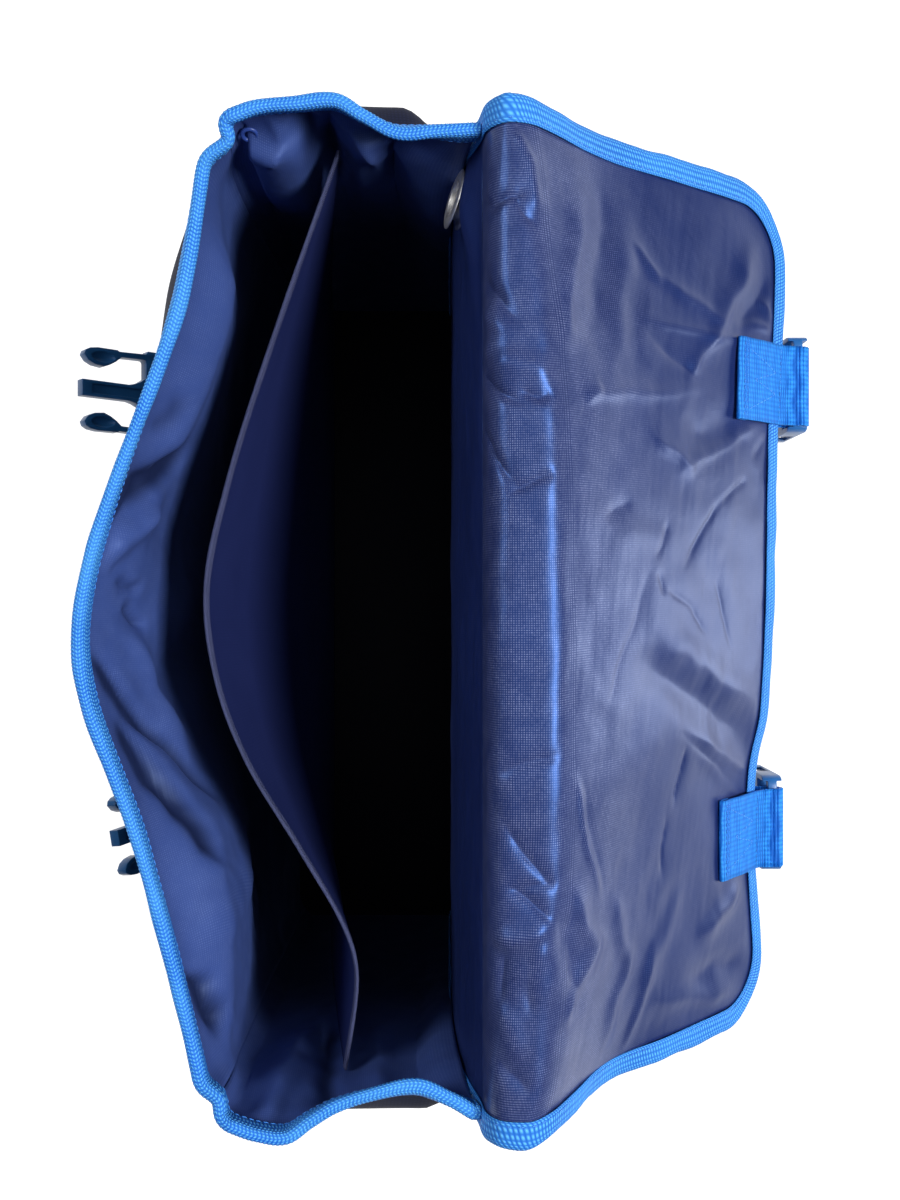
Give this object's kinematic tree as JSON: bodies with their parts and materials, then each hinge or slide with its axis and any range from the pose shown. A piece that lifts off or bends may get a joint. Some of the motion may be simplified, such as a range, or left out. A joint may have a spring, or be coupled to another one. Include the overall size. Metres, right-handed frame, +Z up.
{
  "type": "school bag",
  "caption": "Soft upright school bag, its tape-bound flap thrown open behind, with side-release buckles on webbing, folded gussets, an inner divider and a metal eyelet.",
  "frame": {"origin": "middle of the flat underside of the base, on the floor", "axes": "+X across the bag along its width, -Y to the front with the plug halves of the buckles, +Z up"},
  "size_m": [0.4184, 0.3518, 0.3073],
  "materials": {
    "lining_cloth": "satin plain-weave nylon lining, navy",
    "outer_cloth": "coated plain-weave nylon, very dark navy",
    "edge_tape": "ribbed woven binding tape, bright blue",
    "webbing": "ribbed woven webbing, bright blue",
    "hem_tape": "fine twill edging, grey navy",
    "buckle_plastic": "moulded acetal, dark blue",
    "eyelet_metal": "nickel-plated eyelet"
  },
  "bodies": {
    "root": {"front_panel": "lining_cloth", "gusset_left": "lining_cloth", "gusset_right": "lining_cloth", "base_panel": "outer_cloth", "back_panel": "outer_cloth", "flap": "lining_cloth", "divider": "lining_cloth", "divider_hem": "hem_tape", "rim_binding": "edge_tape", "flap_binding": "edge_tape", "flap_tab_left": "webbing", "flap_tab_right": "webbing", "strap_left": "webbing", "strap_right": "webbing", "buckle_socket_left": "buckle_plastic", "buckle_socket_right": "buckle_plastic", "buckle_plug_left": "buckle_plastic", "buckle_plug_right": "buckle_plastic", "eyelet": "eyelet_metal", "gusset_rivet": "lining_cloth"}
  },
  "joints": []
}
